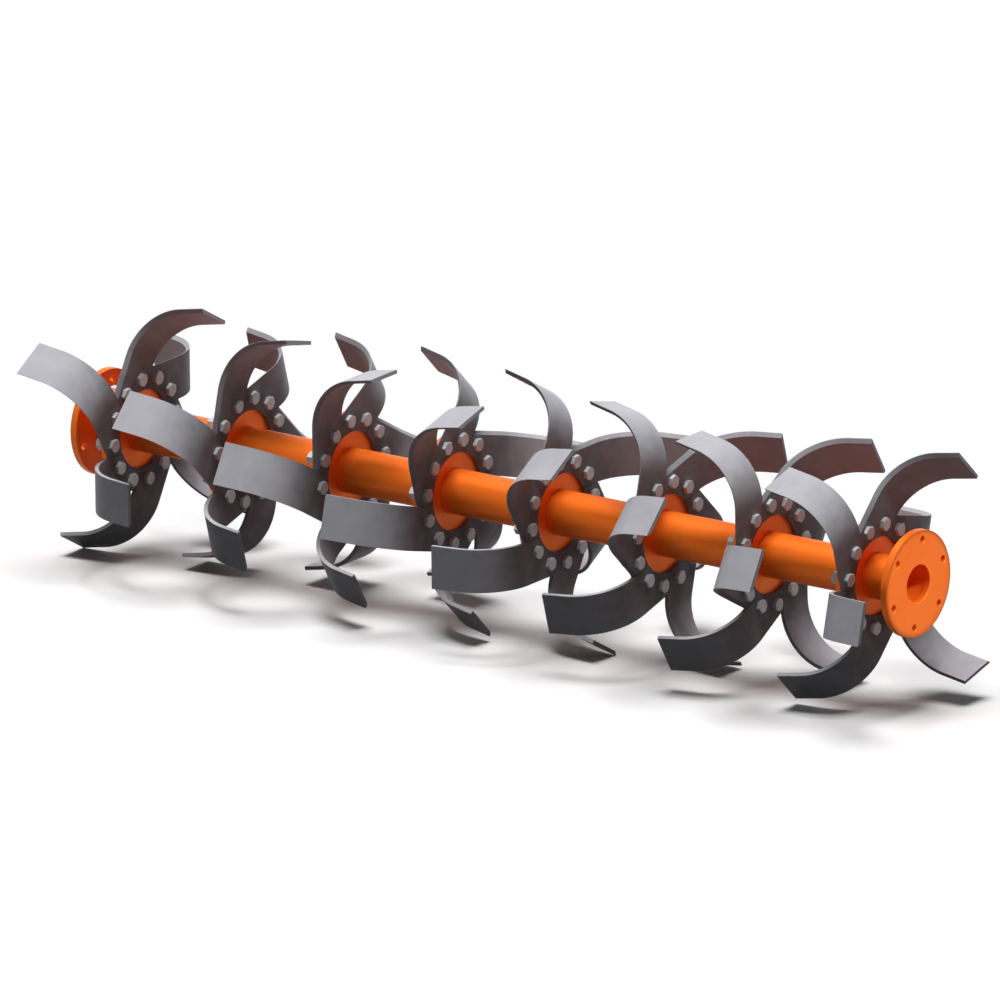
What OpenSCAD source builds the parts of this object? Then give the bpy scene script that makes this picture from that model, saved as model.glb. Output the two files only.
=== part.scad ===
// Tined rotor of a rotary tiller. A tube with bolted end flanges carries a row of tine flanges,
// and each flange holds six bent tines that turn right and left by turns.
// The rotor lies along X, with its origin at the middle of the drive end's outer face.

/* [Rotor] */
// Distance from one tine flange to the next
flange_spacing = 250; // [200:5:300]
// Turn of each tine flange against the one before it, in degrees
helix_angle = 15; // [0:1:30]
// Turn of the first tine flange's first right-hand tine about the rotor's axis, in degrees
rotor_angle = -8.7; // [-30:0.1:30]

/* [Tube] */
// Outer diameter of the tube
tube_d = 89; // [80:1:100]
// Wall thickness of the tube
tube_wall = 6; // [4:0.5:8]

/* [End flanges] */
// Diameter of the end flanges
end_flange_d = 210; // [200:1:240]
// Thickness of the end flanges
end_flange_t = 15; // [10:1:20]
// Bore that centres the stub shaft in an end flange
pilot_d = 75; // [60:1:76]
// Distance from the rim of an end flange in to the middle of its mounting holes
end_hole_inset = 19; // [12:0.5:24]
// Diameter of a mounting hole
end_hole_d = 14; // [10:0.5:18]
// Clear length of tube between the drive end flange and the first tine flange
drive_gap = 65.5; // [45:0.5:90]
// Clear length of tube between the last tine flange and the bearing end flange
bearing_gap = 85.5; // [50:0.5:110]

/* [Tine flanges] */
// Diameter of the tine flanges
tine_flange_d = 230; // [215:1:245]
// Thickness of the tine flanges
tine_flange_t = 12; // [8:1:16]
// Distance from the rim of a tine flange in to the middle of the tine bolts
bolt_inset = 13.5; // [12:0.5:16]

/* [Tines] */
// Width of the tine's strip
tine_w = 86; // [75:1:90]
// Thickness of the tine's strip
tine_t = 7.5; // [6:0.5:12]
// Width of the bevel that sharpens the tine's outer edge, on the inside of the bend
edge_bevel = 7; // [2:0.5:10]
// Thickness left at the sharpened edge
edge_land = 1; // [0.5:0.5:3]
// Angle by which the strip trails the middle of its two bolts, in degrees
tine_lead = 50; // [46:1:54]
// Distance from the circle of bolts in to the round opening that the tine bases leave
seat_margin = 24; // [16:1:28]
// Length of the tine's base past its last bolt
base_margin = 32; // [24:1:36]
// Distance from the flange's rim to the start of the bend
rim_gap = 2.5; // [1:0.5:10]
// Inner radius of the tine's bend
bend_r = 105; // [70:1:120]
// Angle that the tine is bent through, in degrees
bend_angle = 79; // [60:1:88]
// Length of the straight stretch past the bend
tip_length = 51; // [30:1:80]
// Depth ground off each face of the straight tip
tip_ease = 0.1; // [0.05:0.05:0.5]
// Gap between a tine's base and the next tine
tine_gap = 1; // [0.5:0.5:4]

/* [Bolts] */
// Diameter of the bolts
bolt_d = 16; // [12:1:18]
// Width across the flats of bolt heads and nuts
hex_width = 24; // [22:1:27]
// Height of a bolt head
head_h = 8; // [6:0.5:12]
// Height of a nut
nut_h = 13; // [8:0.5:16]
// Length of thread past the nut
thread_past_nut = 3; // [1:0.5:8]

/* [Hidden] */
$fn = 96;
flange_count = 8;
// Tines of each hand on a flange, bolts of a flange and mounting holes of an end flange
tine_pairs = 3;
bolt_count = 4 * tine_pairs;
end_hole_count = 6;
// Clearances of the tube in its flanges, of a bolt in its hole and of a nut's thread
tube_fit = 0.15;
hole_fit = 0.5;
thread_fit = 0.15;
// Depth by which the straight tip runs into the bend
tip_lap = 1;
// Depth by which a cut runs past the face that it opens
cut_past = 1;

// Places along the rotor
first_face = end_flange_t + drive_gap + tine_flange_t;
last_face = first_face + flange_spacing * (flange_count - 1);
bearing_inner = last_face + bearing_gap;
rotor_length = bearing_inner + end_flange_t;

// Circles of holes
end_hole_r = end_flange_d / 2 - end_hole_inset;
bolt_r = tine_flange_d / 2 - bolt_inset;
hole_d = bolt_d + 2 * hole_fit;
hex_d = hex_width / cos(30);

// The tine's strip, seen along the rotor: it runs along Y, and its width along Z
tine_pitch = 180 / tine_pairs;
bolt_pitch = 360 / bolt_count;
seat_r = bolt_r - seat_margin;
edge_near = bolt_r * sin(tine_lead) * cos(bolt_pitch / 2) - tine_w / 2;
base_end = bolt_r * cos(tine_lead + bolt_pitch / 2) - base_margin;
bend_start = sqrt(pow(tine_flange_d / 2, 2) - pow(edge_near, 2)) + rim_gap;

PAINT = [0.93, 0.36, 0.10];
TINE_STEEL = [0.46, 0.45, 0.47];
BOLT_STEEL = [0.66, 0.65, 0.65];

// Place of the seat that the tines of flange k are bolted to, and the flange's turn
function face_x(k) = first_face + flange_spacing * (k - 1);
function turn(k) = rotor_angle + helix_angle * (k - 1);

// A round or six-sided bar along the rotor, from one place on it to another
module bar(from, to, d, sides = $fn) {
    translate([from, 0, 0])
        rotate([0, 90, 0])
            rotate([0, 0, 90])
                cylinder(h = to - from, d = d, $fn = sides);
}

// Copies around the rotor's axis
module ring(count, first = 0) {
    for (i = [0 : count - 1])
        rotate([first + i * 360 / count, 0, 0])
            children();
}

// Copies on the bolt circle of flange k
module on_bolts(k) {
    ring(bolt_count, turn(k) + bolt_pitch / 2)
        translate([0, bolt_r, 0])
            children();
}

module shaft_tube() {
    color(PAINT) difference() {
        bar(end_flange_t, bearing_inner, tube_d);
        bar(end_flange_t - cut_past, bearing_inner + cut_past, tube_d - 2 * tube_wall);
    }
}

// Plate with a pilot bore and a circle of mounting holes
module end_flange(outer, inner) {
    color(PAINT) difference() {
        bar(outer, inner, end_flange_d);
        bar(outer - cut_past, inner + cut_past, pilot_d);
        ring(end_hole_count, turn(1) + bolt_pitch)
            translate([0, end_hole_r, 0])
                bar(outer - cut_past, inner + cut_past, end_hole_d);
    }
}

module drive_end_flange() {
    end_flange(0, end_flange_t);
}

module bearing_end_flange() {
    end_flange(bearing_inner, rotor_length);
}

// Plate around the tube, drilled for two bolts at each tine
module tine_flange(k) {
    seat = face_x(k);
    color(PAINT) difference() {
        bar(seat - tine_flange_t, seat, tine_flange_d);
        bar(seat - tine_flange_t - cut_past, seat + cut_past, tube_d + 2 * tube_fit);
        on_bolts(k)
            bar(seat - tine_flange_t - cut_past, seat + cut_past, hole_d);
    }
}

// Section of the tine's strip, seen from the axis of the bend
module tine_section(ease = 0) {
    outer = bend_r + tine_t - ease;
    far = tine_w - 2 * ease;
    polygon([
        [bend_r + ease, ease],
        [outer, ease],
        [outer, far],
        [bend_r + tine_t - edge_land, far],
        [bend_r + ease, far - edge_bevel]
    ]);
}

// Strip of a tine: its flat base, its bend towards +X and its straight tip
module tine_strip() {
    base_length = bend_start - base_end;
    translate([tine_t + bend_r, bend_start, edge_near]) {
        translate([0, -base_length, 0])
            rotate([90, 0, 180])
                linear_extrude(base_length)
                    tine_section();
        rotate_extrude(angle = bend_angle, start = 180 - bend_angle)
            tine_section();
        rotate([0, 0, 180 - bend_angle])
            translate([0, tip_lap, 0])
                rotate([90, 0, 0])
                    linear_extrude(tip_length + tip_lap)
                        tine_section(tip_ease);
    }
}

// One tine, bent towards +X, with room for the tube and the next tine, and two bolt holes
module right_tine() {
    difference() {
        tine_strip();
        bar(-cut_past, tine_t + cut_past, 2 * seat_r);
        rotate([tine_pitch, 0, 0])
            translate([-cut_past, 0, edge_near - tine_gap])
                cube([tine_t + 2 * cut_past, tine_flange_d, tine_w]);
        for (side = [-1, 1])
            rotate([tine_lead + side * bolt_pitch / 2, 0, 0])
                translate([0, bolt_r, 0])
                    bar(-cut_past, tine_t + cut_past, hole_d);
    }
}

// One tine, bent towards -X
module left_tine() {
    translate([tine_t, 0, 0])
        mirror([1, 0, 0])
            right_tine();
}

module right_tines(k) {
    color(TINE_STEEL)
        translate([face_x(k), 0, 0])
            ring(tine_pairs, turn(k) - tine_lead)
                right_tine();
}

module left_tines(k) {
    color(TINE_STEEL)
        translate([face_x(k), 0, 0])
            ring(tine_pairs, turn(k) + tine_pitch - tine_lead)
                left_tine();
}

module tine_bolts(k) {
    seat = face_x(k) + tine_t;
    end = face_x(k) - tine_flange_t - nut_h - thread_past_nut;
    color(BOLT_STEEL)
        on_bolts(k) {
            bar(seat, seat + head_h, hex_d, 6);
            bar(end, seat, bolt_d);
        }
}

module tine_nuts(k) {
    seat = face_x(k) - tine_flange_t;
    color(BOLT_STEEL)
        on_bolts(k)
            difference() {
                bar(seat - nut_h, seat, hex_d, 6);
                bar(seat - nut_h - cut_past, seat + cut_past, bolt_d + 2 * thread_fit);
            }
}

shaft_tube();
drive_end_flange();
bearing_end_flange();
for (k = [1 : flange_count]) {
    tine_flange(k);
    right_tines(k);
    left_tines(k);
    tine_bolts(k);
    tine_nuts(k);
}
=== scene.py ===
# Looks of the tined rotor: painted flanges, bent tines, plated bolts, floor, light and camera.
import math
import bmesh
import bpy
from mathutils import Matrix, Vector
from mathutils.geometry import tessellate_polygon

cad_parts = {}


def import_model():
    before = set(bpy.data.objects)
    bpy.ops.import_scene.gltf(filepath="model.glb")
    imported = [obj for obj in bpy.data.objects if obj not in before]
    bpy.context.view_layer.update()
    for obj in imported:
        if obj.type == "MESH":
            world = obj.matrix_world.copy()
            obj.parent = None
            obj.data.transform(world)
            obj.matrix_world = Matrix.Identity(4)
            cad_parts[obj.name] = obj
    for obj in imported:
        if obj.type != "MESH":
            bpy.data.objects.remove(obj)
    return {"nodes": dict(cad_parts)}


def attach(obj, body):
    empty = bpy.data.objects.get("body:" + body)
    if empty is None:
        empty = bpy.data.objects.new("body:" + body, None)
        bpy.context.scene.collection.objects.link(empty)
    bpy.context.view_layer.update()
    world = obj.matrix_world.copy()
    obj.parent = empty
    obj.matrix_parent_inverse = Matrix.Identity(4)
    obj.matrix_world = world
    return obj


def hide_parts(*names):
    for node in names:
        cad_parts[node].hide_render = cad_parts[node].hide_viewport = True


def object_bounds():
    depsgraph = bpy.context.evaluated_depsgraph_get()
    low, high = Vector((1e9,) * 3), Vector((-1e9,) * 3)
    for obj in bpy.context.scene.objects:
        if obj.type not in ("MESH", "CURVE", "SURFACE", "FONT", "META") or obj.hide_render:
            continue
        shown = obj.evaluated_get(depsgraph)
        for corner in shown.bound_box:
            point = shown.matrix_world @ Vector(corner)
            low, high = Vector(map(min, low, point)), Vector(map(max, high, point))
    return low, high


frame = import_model()
CAD_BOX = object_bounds()

# Sizes of the solids, in metres and radians
MM = 0.001
FLANGE_COUNT = 8
FLANGE_SPACING = 250 * MM
FIRST_FACE = 92.5 * MM
ROTOR_LENGTH = 1943 * MM
ROTOR_ANGLE = math.radians(-8.7)
HELIX_ANGLE = math.radians(15)
TINE_FLANGE_R = 115 * MM
TINE_FLANGE_T = 12 * MM
TUBE_HOLE_R = 44.65 * MM
END_FLANGE_R = 105 * MM
END_FLANGE_T = 15 * MM
PILOT_R = 37.5 * MM
END_HOLE_COUNT = 6
END_HOLE_PITCH = 2 * math.pi / END_HOLE_COUNT
END_HOLE_CIRCLE = 86 * MM
END_HOLE_R = 7 * MM
TINE_PAIRS = 3
TINE_PITCH = math.pi / TINE_PAIRS
TINE_W = 86 * MM
TINE_T = 7.5 * MM
EDGE_BEVEL = 7 * MM
EDGE_LAND = 1 * MM
TINE_LEAD = math.radians(50)
SEAT_R = 77.5 * MM
BASE_MARGIN = 32 * MM
RIM_GAP = 2.5 * MM
TINE_GAP = 1 * MM
BEND_R = 105 * MM
BEND_ANGLE = math.radians(79)
TIP_LENGTH = 51 * MM
BOLT_COUNT = 4 * TINE_PAIRS
BOLT_PITCH = 2 * math.pi / BOLT_COUNT
BOLT_CIRCLE = 101.5 * MM
BOLT_R = 8 * MM
BOLT_HOLE_R = 8.5 * MM
HEX_HALF = 12 * MM
HEAD_H = 8 * MM
NUT_H = 13 * MM
NUT_BORE_R = 8.15 * MM
THREAD_PAST_NUT = 3 * MM

# The tine's strip, which runs along Y and has its width along Z
EDGE_NEAR = BOLT_CIRCLE * math.sin(TINE_LEAD) * math.cos(BOLT_PITCH / 2) - TINE_W / 2
EDGE_FAR = EDGE_NEAR + TINE_W
INSIDE_FAR = EDGE_FAR - EDGE_BEVEL
BASE_END = BOLT_CIRCLE * math.cos(TINE_LEAD + BOLT_PITCH / 2) - BASE_MARGIN
STRIP_START = 96 * MM
BEND_START = math.sqrt(TINE_FLANGE_R ** 2 - EDGE_NEAR ** 2) + RIM_GAP
BEND_OUTER_R = BEND_R + TINE_T

# Small edges that the solids leave out
TINE_FLANGE_CHAMFER = 0.8 * MM
TINE_FLANGE_HOLE_CHAMFER = 0.4 * MM
END_FLANGE_CHAMFER = 1.0 * MM
END_FLANGE_HOLE_CHAMFER = 0.8 * MM
TINE_ROUND = 0.4 * MM
TINE_ROUND_FROM = math.radians(25)
HEX_FACE_R = 0.95 * HEX_HALF
HEX_SLOPE = math.tan(math.radians(30))
WASHER_FACE = 0.4 * MM
NUT_BORE_CHAMFER = 0.8 * MM
# The bolt's thread end: distances past the nut, each with a depth below the bolt's radius
THREAD_END = (
    (-0.5 * MM, 0.0),
    (0.4 * MM, 1.0 * MM),
    (1.2 * MM, 0.0),
    (1.5 * MM, 0.0),
    (2.2 * MM, 0.9 * MM),
    (THREAD_PAST_NUT - 0.4 * MM, 0.5 * MM),
    (THREAD_PAST_NUT, 1.2 * MM),
)

# Fineness of the meshes, and the angles from which an edge is drawn sharp
RIM_STEPS = 144
BORE_STEPS = 72
BORE_MIN_R = 20 * MM
HOLE_STEPS = 28
TINE_HOLE_STEPS = 24
SEAT_STEPS = 20
BEND_STEPS = 30
HEX_STEPS = 36
HEX_SIDE_ANGLE = math.pi / 3
SHARP_ANGLE = math.radians(30)
TINE_SHARP_ANGLE = math.radians(50)

# Colours, as (place in a noise, colour) pairs
PAINT_TINTS = [(0.3, (0.91, 0.168, 0.012)), (0.7, (0.95, 0.186, 0.016))]
# The tines' base tints are painted shade, a little bluer to offset the orange light thrown back by
# the paint; their blade tints are painted light
TINE_BASE_SHADED_TINTS = [(0.25, (0.152, 0.164, 0.180)), (0.75, (0.190, 0.205, 0.225))]
TINE_BLADE_LIT_TINTS = [(0.25, (0.445, 0.440, 0.475)), (0.75, (0.530, 0.524, 0.566))]
BOLT_TINTS = [(0.3, (0.56, 0.575, 0.595)), (0.7, (0.66, 0.675, 0.695))]
FLOOR_TINTS = [(0.3, (0.84, 0.84, 0.84)), (0.7, (0.86, 0.86, 0.86))]
# The floor's colour for the light that it sheds on the rotor
FLOOR_SHED = (0.03, 0.03, 0.03, 1)
# Distances from the rotor's axis between which the tines turn from painted shade to painted light
SHADE_TO_LIGHT_FROM = 0.09
SHADE_TO_LIGHT_TO = 0.21
SHADE_TO_LIGHT_RAGGED = 0.02

# Half the floor's width
FLOOR_HALF = 40.0
# The end flanges' lamps: each is a little smaller than its flange, so that nothing else is lit
BEAM_INSET = 5 * MM
BEAM_DISTANCE = 0.35
BEAM_SPREAD = math.radians(2)

# The photograph's view: from the right, a little above, and nearly parallel
AZIMUTH = math.radians(36.28)
ELEVATION = math.radians(15.86)
LENS_MM = 1700.0
SENSOR_MM = 36.0
DISTANCE = 90.68
CLIP_START = 1.0
AIM = Vector((0.980, 0.0, 0.0))
AIM_RIGHT = -0.0224
AIM_UP = 0.0045


def face_x(k):
    """Place of the seat that the tines of flange k are bolted to."""
    return FIRST_FACE + FLANGE_SPACING * (k - 1)


def turn(k):
    """Turn of flange k about the rotor's axis."""
    return ROTOR_ANGLE + HELIX_ANGLE * (k - 1)


def on_circle(radius, angle):
    return (radius * math.cos(angle), radius * math.sin(angle))


def new_object(name, data):
    obj = bpy.data.objects.new(name, data)
    bpy.context.scene.collection.objects.link(obj)
    return obj


# Materials

def new_material(name):
    mat = bpy.data.materials.new(name)
    mat.use_nodes = True
    tree = mat.node_tree
    return mat, tree, tree.nodes["Principled BSDF"]


def noise(tree, scale, detail, roughness=0.5):
    """A noise in the object's own metres."""
    coord = tree.nodes.new("ShaderNodeTexCoord")
    tex = tree.nodes.new("ShaderNodeTexNoise")
    tex.inputs["Scale"].default_value = scale
    tex.inputs["Detail"].default_value = detail
    tex.inputs["Roughness"].default_value = roughness
    tree.links.new(coord.outputs["Object"], tex.inputs["Vector"])
    return tex.outputs["Fac"]


def spread(tree, value, low, high, start=0.3, end=0.7):
    """A number from low to high, as the value goes from start to end."""
    node = tree.nodes.new("ShaderNodeMapRange")
    node.inputs["From Min"].default_value = start
    node.inputs["From Max"].default_value = end
    node.inputs["To Min"].default_value = low
    node.inputs["To Max"].default_value = high
    tree.links.new(value, node.inputs["Value"])
    return node.outputs["Result"]


def tints(tree, value, stops):
    """A colour between two (place, colour) pairs, by the value's place."""
    ramp = tree.nodes.new("ShaderNodeValToRGB")
    for item, (place, color) in zip(ramp.color_ramp.elements, stops):
        item.position = place
        item.color = (*color, 1)
    tree.links.new(value, ramp.inputs["Fac"])
    return ramp.outputs["Color"]


def joined(tree, operation, a, b):
    """Two numbers made one by a math node."""
    node = tree.nodes.new("ShaderNodeMath")
    node.operation = operation
    tree.links.new(a, node.inputs[0])
    tree.links.new(b, node.inputs[1])
    return node.outputs["Value"]


def bump(tree, shader, height, distance, strength):
    node = tree.nodes.new("ShaderNodeBump")
    node.inputs["Distance"].default_value = distance
    node.inputs["Strength"].default_value = strength
    tree.links.new(height, node.inputs["Height"])
    tree.links.new(node.outputs["Normal"], shader.inputs["Normal"])


def off_axis(tree, start, end):
    """0 to 1, as the distance from the rotor's axis goes from start to end, with ragged borders:
    the mask between the tines' painted shade and painted light.
    """
    coord = tree.nodes.new("ShaderNodeTexCoord")
    across = tree.nodes.new("ShaderNodeVectorMath")
    across.operation = "MULTIPLY"
    across.inputs[1].default_value = (0, 1, 1)
    tree.links.new(coord.outputs["Object"], across.inputs[0])
    length = tree.nodes.new("ShaderNodeVectorMath")
    length.operation = "LENGTH"
    tree.links.new(across.outputs["Vector"], length.inputs[0])
    shift = spread(tree, noise(tree, scale=28, detail=5), low=-SHADE_TO_LIGHT_RAGGED, high=SHADE_TO_LIGHT_RAGGED)
    ragged = joined(tree, "ADD", length.outputs["Value"], shift)
    return spread(tree, ragged, 0.0, 1.0, start, end)


def paint_material():
    """Orange paint, a little uneven in colour and gloss."""
    mat, tree, shader = new_material("orange_paint")
    color = tints(tree, noise(tree, scale=9, detail=4), PAINT_TINTS)
    rough = spread(tree, noise(tree, scale=30, detail=3), low=0.42, high=0.54)
    tree.links.new(color, shader.inputs["Base Color"])
    tree.links.new(rough, shader.inputs["Roughness"])
    shader.inputs["Metallic"].default_value = 0.36
    shader.inputs["Specular IOR Level"].default_value = 0.15
    bump(tree, shader, noise(tree, scale=420, detail=2), distance=0.0004, strength=0.08)
    return mat


def tine_material():
    """Rolled steel, dark at the base and paler on the blades by distance from the rotor's axis:
    painted shade on the base plates and painted light on the blades.
    """
    mat, tree, shader = new_material("tine_steel")
    grain = noise(tree, scale=22, detail=6, roughness=0.6)
    mix = tree.nodes.new("ShaderNodeMix")
    mix.data_type = "RGBA"
    # Painted shade near the rotor's axis, painted light farther out on the blades
    tree.links.new(off_axis(tree, SHADE_TO_LIGHT_FROM, SHADE_TO_LIGHT_TO), mix.inputs["Factor"])
    tree.links.new(tints(tree, grain, TINE_BASE_SHADED_TINTS), mix.inputs["A"])
    tree.links.new(tints(tree, grain, TINE_BLADE_LIT_TINTS), mix.inputs["B"])
    rough = spread(tree, noise(tree, scale=45, detail=5), low=0.40, high=0.50)
    tree.links.new(mix.outputs["Result"], shader.inputs["Base Color"])
    tree.links.new(rough, shader.inputs["Roughness"])
    shader.inputs["Specular IOR Level"].default_value = 0.04
    pits = noise(tree, scale=260, detail=4, roughness=0.6)
    bump(tree, shader, pits, distance=0.0003, strength=0.10)
    return mat


def bolt_material():
    """Zinc plating."""
    mat, tree, shader = new_material("bolt_zinc")
    color = tints(tree, noise(tree, scale=90, detail=4), BOLT_TINTS)
    rough = spread(tree, noise(tree, scale=160, detail=4), low=0.28, high=0.40)
    tree.links.new(color, shader.inputs["Base Color"])
    tree.links.new(rough, shader.inputs["Roughness"])
    shader.inputs["Metallic"].default_value = 0.1
    shader.inputs["Specular IOR Level"].default_value = 0.2
    bump(tree, shader, noise(tree, scale=900, detail=3), distance=0.0001, strength=0.12)
    return mat


PAINT = paint_material()
TINE = tine_material()
BOLT = bolt_material()


# Mesh pieces

def ring(bm, x, mid, radius, steps):
    """Points on a circle across X, around a middle in Y and Z."""
    places = [on_circle(radius, 2 * math.pi * i / steps) for i in range(steps)]
    return [bm.verts.new((x, mid[0] + y, mid[1] + z)) for y, z in places]


def band(bm, a, b):
    """Faces between two closed rows of points."""
    for i in range(len(a)):
        j = (i + 1) % len(a)
        bm.faces.new((a[i], a[j], b[j], b[i]))


def cap(bm, rows):
    """Flat faces across X, inside the first row of points and outside the others."""
    flat = [v for row in rows for v in row]
    outlines = [[Vector((v.co.y, v.co.z, 0)) for v in row] for row in rows]
    for tri in tessellate_polygon(outlines):
        bm.faces.new([flat[i] for i in tri])


def as_shape(bm):
    """The points and faces of a closed mesh, with its faces turned outwards."""
    bmesh.ops.recalc_face_normals(bm, faces=bm.faces)
    bm.verts.index_update()
    points = [v.co.copy() for v in bm.verts]
    faces = [[v.index for v in f.verts] for f in bm.faces]
    bm.free()
    return points, faces


def placed(shape, x, angle, mirrored=False, radius=0.0):
    """A shape moved out to a radius, turned about the rotor's axis and set at x. A mirrored shape
    is turned over along X."""
    points, faces = shape
    c, s = math.cos(angle), math.sin(angle)
    flip = -1 if mirrored else 1
    moved = []
    for q in points:
        y = q.y + radius
        moved.append(Vector((x + flip * q.x, y * c - q.z * s, y * s + q.z * c)))
    return moved, [face[::-1] for face in faces] if mirrored else faces


def new_piece(name, shapes, node, material, sharp_angle):
    """One piece out of several placed shapes. It replaces a node of the solids."""
    points, faces = [], []
    for shape_points, shape_faces in shapes:
        start = len(points)
        points += shape_points
        faces += [[start + i for i in face] for face in shape_faces]
    mesh = bpy.data.meshes.new(name)
    mesh.from_pydata(points, [], faces)
    mesh.shade_smooth()
    mesh.set_sharp_from_angle(angle=sharp_angle)
    mesh.materials.append(material)
    obj = new_object(name, mesh)
    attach(obj, "root")
    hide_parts(node)
    return obj


def even_normals(obj):
    """Keeps the large flat faces flat beside their rounded edges."""
    mod = obj.modifiers.new("even_normals", "WEIGHTED_NORMAL")
    mod.keep_sharp = True


def plate(x0, x1, radius, chamfer, holes, hole_chamfer):
    """A round plate with round (middle, radius) holes. Its rim and its holes have chamfers."""
    bm = bmesh.new()
    loops = [((0.0, 0.0), radius, -chamfer, RIM_STEPS)]
    for mid, r in holes:
        loops.append((mid, r, hole_chamfer, BORE_STEPS if r > BORE_MIN_R else HOLE_STEPS))
    caps = ([], [])
    for mid, r, step, steps in loops:
        cut = abs(step)
        profile = ((x0, r + step), (x0 + cut, r), (x1 - cut, r), (x1, r + step))
        rings = [ring(bm, x, mid, ring_r, steps) for x, ring_r in profile]
        for a, b in zip(rings, rings[1:]):
            band(bm, a, b)
        caps[0].append(rings[0])
        caps[1].append(rings[-1])
    for rows in caps:
        cap(bm, rows)
    return as_shape(bm)


# Stands for a radius, where a turned shape has the hexagon's outline
HEX = "hexagon"


def hex_radius(angle):
    """Distance from the middle to the side of the hexagon, which has a corner at angle 0."""
    return HEX_HALF / math.cos(angle % HEX_SIDE_ANGLE - HEX_SIDE_ANGLE / 2)


def turned(rings, loop):
    """A shape turned about X from (x, radius, lean) rings. A lean of 1 or -1 moves the hexagon's
    corners along X by the slope of its chamfer."""
    bm = bmesh.new()
    rows = []
    for x, radius, lean in rings:
        row = []
        for i in range(HEX_STEPS):
            angle = 2 * math.pi * i / HEX_STEPS
            r = hex_radius(angle) if radius == HEX else radius
            y, z = on_circle(r, angle)
            row.append(bm.verts.new((x + lean * (r - HEX_FACE_R) * HEX_SLOPE, y, z)))
        rows.append(row)
    if loop:
        rows.append(rows[0])
    else:
        bm.faces.new(rows[0])
        bm.faces.new(rows[-1][::-1])
    for a, b in zip(rows, rows[1:]):
        band(bm, a, b)
    return as_shape(bm)


def bolt_shape():
    """A bolt along X, with its head on the tine at TINE_T, and its thread past the nut."""
    seat = TINE_T
    nut_end = -TINE_FLANGE_T - NUT_H
    rings = [
        (seat + HEAD_H, HEX_FACE_R, 0),
        (seat + HEAD_H, HEX, -1),
        (seat + WASHER_FACE, HEX, 0),
        (seat + WASHER_FACE, HEX_FACE_R, 0),
        (seat, HEX_FACE_R, 0),
        (seat, BOLT_R, 0),
    ]
    rings += [(nut_end - past, BOLT_R - depth, 0) for past, depth in THREAD_END]
    return turned(rings, loop=False)


def nut_shape():
    """A nut along X, with its washer face on the back of the tine flange."""
    seat = -TINE_FLANGE_T
    end = seat - NUT_H
    rings = [
        (seat, NUT_BORE_R, 0),
        (seat, HEX_FACE_R, 0),
        (seat - WASHER_FACE, HEX_FACE_R, 0),
        (seat - WASHER_FACE, HEX, 0),
        (end, HEX, 1),
        (end, HEX_FACE_R, 0),
        (end, NUT_BORE_R + NUT_BORE_CHAMFER, 0),
        (end + NUT_BORE_CHAMFER, NUT_BORE_R, 0),
    ]
    return turned(rings, loop=True)


def bend(depth, along):
    """(x, y) of a point at a depth from the strip's outside, at a place along that outside."""
    if along <= BEND_START:
        return depth, along
    r = BEND_OUTER_R - depth
    angle = min((along - BEND_START) / BEND_OUTER_R, BEND_ANGLE)
    past = max(0.0, along - BEND_START - BEND_OUTER_R * BEND_ANGLE)
    return (BEND_OUTER_R - r * math.cos(angle) + past * math.sin(angle),
            BEND_START + r * math.sin(angle) + past * math.cos(angle))


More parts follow.
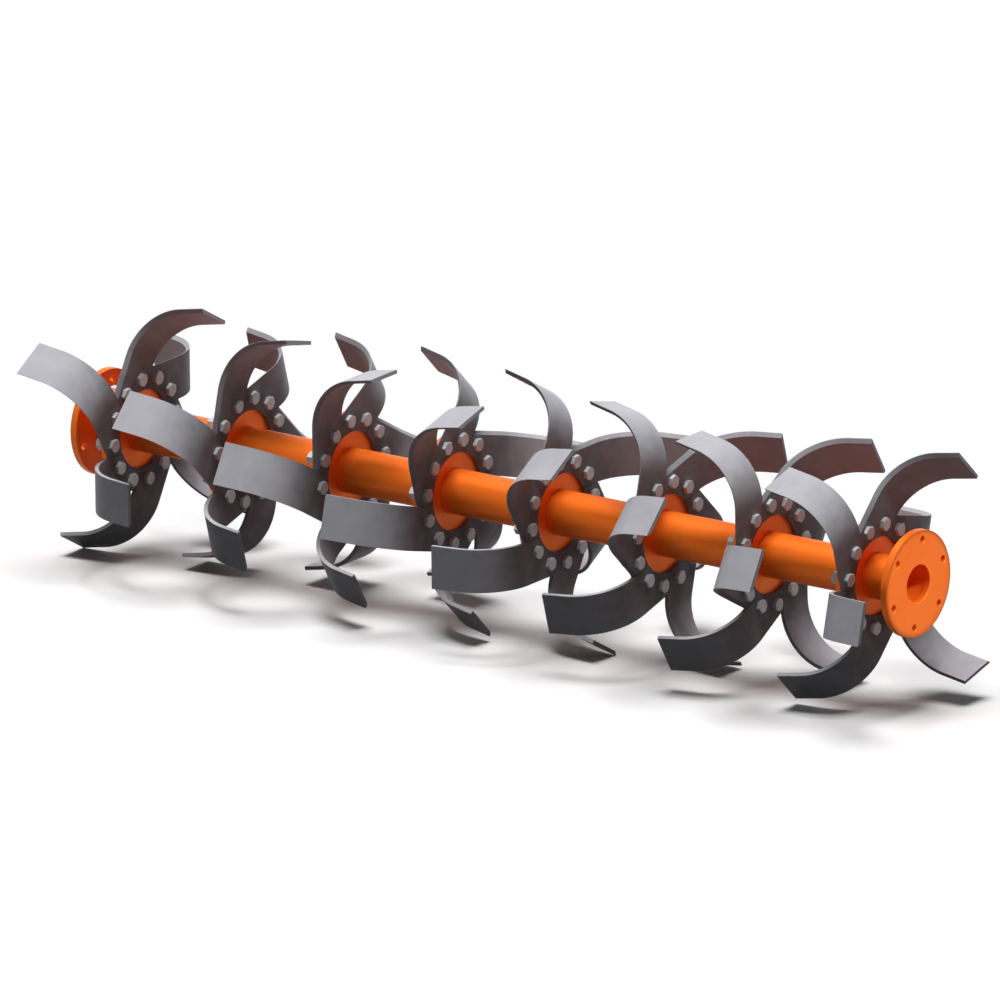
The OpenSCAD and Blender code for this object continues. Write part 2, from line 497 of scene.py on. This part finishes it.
def tine_shape():
    """One tine bent towards +X: X along the rotor, Y along the strip and Z across it."""
    bm = bmesh.new()

    def point(depth, along, across):
        x, y = bend(depth, along)
        return bm.verts.new((x, y, across))

    # The room that the next tine takes ends the base along this line
    room_tan = math.tan(TINE_PITCH)
    room_from = (EDGE_NEAR - TINE_GAP) / math.cos(TINE_PITCH)

    def room_end(across):
        return (across - room_from) / room_tan

    # Sections of the strip, from the end of its base to its tip
    bend_length = BEND_OUTER_R * BEND_ANGLE
    stations = [STRIP_START]
    stations += [BEND_START + bend_length * i / BEND_STEPS for i in range(BEND_STEPS + 1)]
    stations.append(stations[-1] + TIP_LENGTH)
    section = [(0, EDGE_NEAR), (0, EDGE_FAR), (EDGE_LAND, EDGE_FAR), (TINE_T, INSIDE_FAR),
               (TINE_T, EDGE_NEAR)]
    rows = [[point(depth, along, across) for depth, across in section] for along in stations]
    for a, b in zip(rows, rows[1:]):
        band(bm, a, b)
    bm.faces.new(rows[-1])
    outside_near, outside_far, land_far, inside_far, inside_near = rows[0]

    # Rim of the flat base: the round seat, the straight end and the line of the next tine
    seat_from = math.asin(EDGE_NEAR / SEAT_R)
    seat_step = (math.acos(BASE_END / SEAT_R) - seat_from) / SEAT_STEPS
    rim = [on_circle(SEAT_R, seat_from + seat_step * i) for i in range(SEAT_STEPS + 1)]
    rim.append((BASE_END, room_from + BASE_END * room_tan))
    outside_rim = [point(0, along, across) for along, across in rim]
    inside_rim = [point(TINE_T, along, across) for along, across in rim]
    outside_end = point(0, room_end(EDGE_FAR), EDGE_FAR)
    land_end = point(EDGE_LAND, room_end(EDGE_FAR), EDGE_FAR)
    inside_end = point(TINE_T, room_end(INSIDE_FAR), INSIDE_FAR)
    for i in range(len(rim) - 1):
        bm.faces.new((outside_rim[i], outside_rim[i + 1], inside_rim[i + 1], inside_rim[i]))
    bm.faces.new((outside_rim[0], inside_rim[0], inside_near, outside_near))
    bm.faces.new((outside_rim[-1], outside_end, land_end, inside_end, inside_rim[-1]))
    bm.faces.new((outside_end, outside_far, land_far, land_end))
    bm.faces.new((land_end, land_far, inside_far, inside_end))

    # Bolt holes and the two faces of the base
    outside = [outside_rim + [outside_end, outside_far, outside_near]]
    inside = [inside_rim + [inside_end, inside_far, inside_near]]
    for side in (-1, 1):
        mid = on_circle(BOLT_CIRCLE, TINE_LEAD + side * BOLT_PITCH / 2)
        outside.append(ring(bm, 0, mid, BOLT_HOLE_R, TINE_HOLE_STEPS))
        inside.append(ring(bm, TINE_T, mid, BOLT_HOLE_R, TINE_HOLE_STEPS))
        band(bm, outside[-1], inside[-1])
    cap(bm, outside)
    cap(bm, inside)

    bmesh.ops.recalc_face_normals(bm, faces=bm.faces)
    edges = [e for e in bm.edges
             if len(e.link_faces) == 2 and e.calc_face_angle() > TINE_ROUND_FROM]
    bmesh.ops.bevel(bm, geom=edges, offset=TINE_ROUND, offset_type="OFFSET", segments=2,
                    profile=0.5, affect="EDGES", clamp_overlap=True)
    return as_shape(bm)


def build_flange(k, tine, bolt, nut):
    """Tine flange k with its tines, bolts and nuts."""
    x = face_x(k)
    bolt_angles = [turn(k) + BOLT_PITCH * (i + 0.5) for i in range(BOLT_COUNT)]
    holes = [((0.0, 0.0), TUBE_HOLE_R)]
    holes += [(on_circle(BOLT_CIRCLE, angle), BOLT_HOLE_R) for angle in bolt_angles]
    shape = plate(x - TINE_FLANGE_T, x, TINE_FLANGE_R, TINE_FLANGE_CHAMFER,
                  holes, TINE_FLANGE_HOLE_CHAMFER)
    node = f"tine_flange_{k}"
    even_normals(new_piece(f"{node}_plate", [shape], node, PAINT, SHARP_ANGLE))

    right, left = [], []
    for i in range(TINE_PAIRS):
        pair_angle = 2 * TINE_PITCH * i
        right.append(placed(tine, x, turn(k) - TINE_LEAD + pair_angle))
        left.append(placed(tine, x + TINE_T, turn(k) + TINE_PITCH - TINE_LEAD + pair_angle,
                           mirrored=True))
    for node, shapes in ((f"right_tines_{k}", right), (f"left_tines_{k}", left)):
        even_normals(new_piece(f"{node}_bent", shapes, node, TINE,
                               TINE_SHARP_ANGLE))

    for node, shape in ((f"tine_bolts_{k}", bolt), (f"tine_nuts_{k}", nut)):
        shapes = [placed(shape, x, angle, radius=BOLT_CIRCLE) for angle in bolt_angles]
        new_piece(f"{node}_hex", shapes, node, BOLT, SHARP_ANGLE)


def build_end_flange(node, x):
    """An end flange, from x on."""
    holes = [((0.0, 0.0), PILOT_R)]
    for i in range(END_HOLE_COUNT):
        angle = turn(1) + BOLT_PITCH + END_HOLE_PITCH * i
        holes.append((on_circle(END_HOLE_CIRCLE, angle), END_HOLE_R))
    shape = plate(x, x + END_FLANGE_T, END_FLANGE_R, END_FLANGE_CHAMFER,
                  holes, END_FLANGE_HOLE_CHAMFER)
    even_normals(new_piece(f"{node}_plate", [shape], node, PAINT, SHARP_ANGLE))


def build_rotor():
    tine, bolt, nut = tine_shape(), bolt_shape(), nut_shape()
    for k in range(1, FLANGE_COUNT + 1):
        build_flange(k, tine, bolt, nut)
    build_end_flange("drive_end_flange", 0.0)
    build_end_flange("bearing_end_flange", ROTOR_LENGTH - END_FLANGE_T)
    tube = frame["nodes"]["shaft_tube"]
    tube.data.materials.clear()
    tube.data.materials.append(PAINT)


# Stage, light and camera

def seen(tree):
    """1 where the camera sees a surface, also in a reflection or through glass, and 0 for the
    light that it sheds."""
    path = tree.nodes.new("ShaderNodeLightPath")
    total = path.outputs["Is Camera Ray"]
    for name in ("Is Glossy Ray", "Is Transmission Ray"):
        total = joined(tree, "MAXIMUM", total, path.outputs[name])
    return total


def floor():
    """A white floor at the foot of the solids. It sheds little light, as in the photograph."""
    low = CAD_BOX[0][2]
    signs = ((-1, -1), (1, -1), (1, 1), (-1, 1))
    corners = [(AIM.x + sx * FLOOR_HALF, sy * FLOOR_HALF, low) for sx, sy in signs]
    mesh = bpy.data.meshes.new("floor")
    mesh.from_pydata(corners, [], [(0, 1, 2, 3)])
    mat, tree, shader = new_material("floor_white")
    white = tints(tree, noise(tree, scale=0.6, detail=2), FLOOR_TINTS)
    mix = tree.nodes.new("ShaderNodeMix")
    mix.data_type = "RGBA"
    mix.inputs["A"].default_value = FLOOR_SHED
    tree.links.new(seen(tree), mix.inputs["Factor"])
    tree.links.new(white, mix.inputs["B"])
    tree.links.new(mix.outputs["Result"], shader.inputs["Base Color"])
    shader.inputs["Roughness"].default_value = 0.9
    shader.inputs["Specular IOR Level"].default_value = 0.1
    mesh.materials.append(mat)
    new_object("floor", mesh)


def sun(name, towards, level, degrees):
    """A soft lamp far off in the direction towards, so many degrees wide. At level 1, a white face
    turned to it renders white."""
    data = bpy.data.lights.new(name, "SUN")
    data.energy = level * math.pi
    data.angle = math.radians(degrees)
    obj = new_object(name, data)
    obj.rotation_mode = "QUATERNION"
    obj.rotation_quaternion = Vector(towards).to_track_quat("Z", "Y")


def beam(name, x, side, level):
    """A lamp that lights the face of one end flange alone, from 45 degrees above. At level 1, a
    white face turned to it renders white."""
    axis = Vector((side, 0, 1)).normalized()
    radius = END_FLANGE_R - BEAM_INSET
    data = bpy.data.lights.new(name, "AREA")
    data.shape = "ELLIPSE"
    data.size = 2 * radius
    data.size_y = data.size * abs(axis.x)
    data.spread = BEAM_SPREAD
    data.energy = level * math.pi ** 2 * radius ** 2 * abs(axis.x)
    obj = new_object(name, data)
    obj.location = Vector((x, 0, 0)) + axis * BEAM_DISTANCE
    obj.rotation_mode = "QUATERNION"
    obj.rotation_quaternion = axis.to_track_quat("Z", "Y")
    obj.visible_camera = False


def world(level):
    """A white surround, which lights the rotor at a level of its own."""
    data = bpy.data.worlds.new("studio")
    bpy.context.scene.world = data
    data.use_nodes = True
    tree = data.node_tree
    background = tree.nodes["Background"]
    background.inputs["Color"].default_value = (1, 1, 1, 1)
    strength = spread(tree, seen(tree), level, 1.0, 0.0, 1.0)
    tree.links.new(strength, background.inputs["Strength"])


def camera():
    right = Vector((math.cos(AZIMUTH), math.sin(AZIMUTH), 0))
    back = Vector((math.sin(AZIMUTH) * math.cos(ELEVATION),
                   -math.cos(AZIMUTH) * math.cos(ELEVATION),
                   math.sin(ELEVATION)))
    up = back.cross(right)
    data = bpy.data.cameras.new("camera")
    data.lens = LENS_MM
    data.sensor_width = SENSOR_MM
    data.clip_start = CLIP_START
    data.clip_end = 2 * DISTANCE
    cam = new_object("camera", data)
    cam.location = AIM + right * AIM_RIGHT + up * AIM_UP + back * DISTANCE
    cam.rotation_mode = "QUATERNION"
    cam.rotation_quaternion = (-back).to_track_quat("-Z", "Y")
    bpy.context.scene.camera = cam


build_rotor()
floor()
sun("key", towards=(-0.03, -0.06, 0.99), level=1.14, degrees=32)
sun("fill", towards=(0.85, -0.45, 0.25), level=0.035, degrees=60)
beam("right_end", x=ROTOR_LENGTH, side=1, level=0.97)
beam("left_end", x=0.0, side=-1, level=0.8)
sun("back", towards=(-0.30, 0.90, 0.20), level=0.12, degrees=60)
world(level=0.045)
camera()

bpy.context.scene.view_settings.view_transform = "Standard"
